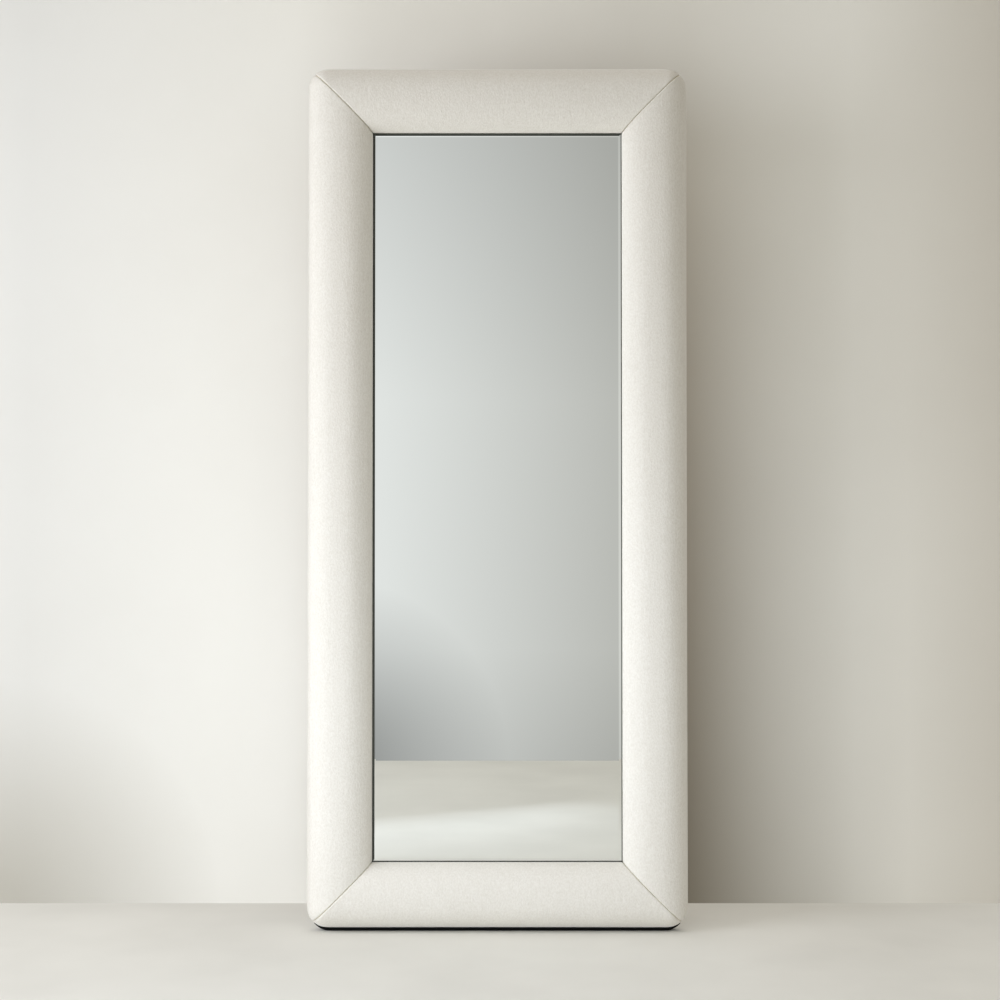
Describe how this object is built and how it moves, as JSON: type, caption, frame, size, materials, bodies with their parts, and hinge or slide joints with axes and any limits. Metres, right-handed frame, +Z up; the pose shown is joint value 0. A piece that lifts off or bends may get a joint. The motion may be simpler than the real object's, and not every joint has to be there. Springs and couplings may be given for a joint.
{
  "type": "upholstered floor mirror",
  "caption": "Full-length rectangular floor mirror that leans on a wall, with a wide half-round padded cloth border mitred at rounded corners and a rubber base.",
  "frame": {"origin": "middle of the underside of the bounding box, on the floor", "axes": "+Z up along the mirror's height, -Y out of the reflecting face towards the viewer, +Y towards the wall, +X to the viewer's right"},
  "size_m": [0.795, 0.0698, 1.803],
  "materials": {
    "cover_cloth": "warm off-white short-pile cloth",
    "foam": "open-cell upholstery foam",
    "plywood": "sanded birch plywood",
    "mirror": "silvered float glass with a bevelled edge",
    "film": "safety backing film",
    "board": "thin fibreboard",
    "dust_cloth": "black spunbonded dust cloth",
    "rubber": "matt black rubber",
    "zinc_steel": "bright zinc-plated steel"
  },
  "bodies": {
    "mirror_body": {"wood_rail_bottom": "plywood", "foam_pad_bottom": "foam", "fabric_cover_bottom": "cover_cloth", "wood_stile_right": "plywood", "foam_pad_right": "foam", "fabric_cover_right": "cover_cloth", "wood_rail_top": "plywood", "foam_pad_top": "foam", "fabric_cover_top": "cover_cloth", "wood_stile_left": "plywood", "foam_pad_left": "foam", "fabric_cover_left": "cover_cloth", "dust_cover": "dust_cloth", "mirror_glass": "mirror", "safety_film": "film", "backing_board": "board", "base_strip": "rubber", "corner_plate_bottom_left": "zinc_steel", "corner_plate_bottom_right": "zinc_steel", "corner_plate_top_left": "zinc_steel", "corner_plate_top_right": "zinc_steel", "hanger_strap_left": "zinc_steel", "wall_bumper_left": "rubber", "hanger_strap_right": "zinc_steel", "wall_bumper_right": "rubber", "plate_screw_bottom_left_1": "zinc_steel", "plate_screw_bottom_left_2": "zinc_steel", "plate_screw_bottom_left_3": "zinc_steel", "plate_screw_bottom_left_4": "zinc_steel", "plate_screw_bottom_right_1": "zinc_steel", "plate_screw_bottom_right_2": "zinc_steel", "plate_screw_bottom_right_3": "zinc_steel", "plate_screw_bottom_right_4": "zinc_steel", "plate_screw_top_left_1": "zinc_steel", "plate_screw_top_left_2": "zinc_steel", "plate_screw_top_left_3": "zinc_steel", "plate_screw_top_left_4": "zinc_steel", "plate_screw_top_right_1": "zinc_steel", "plate_screw_top_right_2": "zinc_steel", "plate_screw_top_right_3": "zinc_steel", "plate_screw_top_right_4": "zinc_steel", "hanger_screw_left_1": "zinc_steel", "hanger_screw_left_2": "zinc_steel", "button_screw_left_low": "zinc_steel", "button_screw_left_middle": "zinc_steel", "button_screw_left_high": "zinc_steel", "hanger_screw_right_1": "zinc_steel", "hanger_screw_right_2": "zinc_steel", "button_screw_right_low": "zinc_steel", "button_screw_right_middle": "zinc_steel", "button_screw_right_high": "zinc_steel"},
    "ring_left": {"hanger_ring_left": "zinc_steel"},
    "ring_right": {"hanger_ring_right": "zinc_steel"},
    "button_left_low": {"turn_button_left_low": "zinc_steel"},
    "button_left_middle": {"turn_button_left_middle": "zinc_steel"},
    "button_left_high": {"turn_button_left_high": "zinc_steel"},
    "button_right_low": {"turn_button_right_low": "zinc_steel"},
    "button_right_middle": {"turn_button_right_middle": "zinc_steel"},
    "button_right_high": {"turn_button_right_high": "zinc_steel"}
  },
  "joints": [
    {"name": "ring_left_swing", "type": "hinge", "parent": "mirror_body", "child": "ring_left", "pos_m": [-0.2975, 0.0299, 1.39], "axis": [1, 0, 0], "range_deg": [0, 180]},
    {"name": "ring_right_swing", "type": "hinge", "parent": "mirror_body", "child": "ring_right", "pos_m": [0.2975, 0.0299, 1.39], "axis": [1, 0, 0], "range_deg": [0, 180]},
    {"name": "button_left_low_turn", "type": "hinge", "parent": "mirror_body", "child": "button_left_low", "pos_m": [-0.2875, 0.02705, 0.305], "axis": [0, 1, 0], "range_deg": [-90, 90]},
    {"name": "button_left_middle_turn", "type": "hinge", "parent": "mirror_body", "child": "button_left_middle", "pos_m": [-0.2875, 0.02705, 0.905], "axis": [0, 1, 0], "range_deg": [-90, 90]},
    {"name": "button_left_high_turn", "type": "hinge", "parent": "mirror_body", "child": "button_left_high", "pos_m": [-0.2875, 0.02705, 1.505], "axis": [0, 1, 0], "range_deg": [-90, 90]},
    {"name": "button_right_low_turn", "type": "hinge", "parent": "mirror_body", "child": "button_right_low", "pos_m": [0.2875, 0.02705, 0.305], "axis": [0, 1, 0], "range_deg": [-90, 90]},
    {"name": "button_right_middle_turn", "type": "hinge", "parent": "mirror_body", "child": "button_right_middle", "pos_m": [0.2875, 0.02705, 0.905], "axis": [0, 1, 0], "range_deg": [-90, 90]},
    {"name": "button_right_high_turn", "type": "hinge", "parent": "mirror_body", "child": "button_right_high", "pos_m": [0.2875, 0.02705, 1.505], "axis": [0, 1, 0], "range_deg": [-90, 90]}
  ]
}
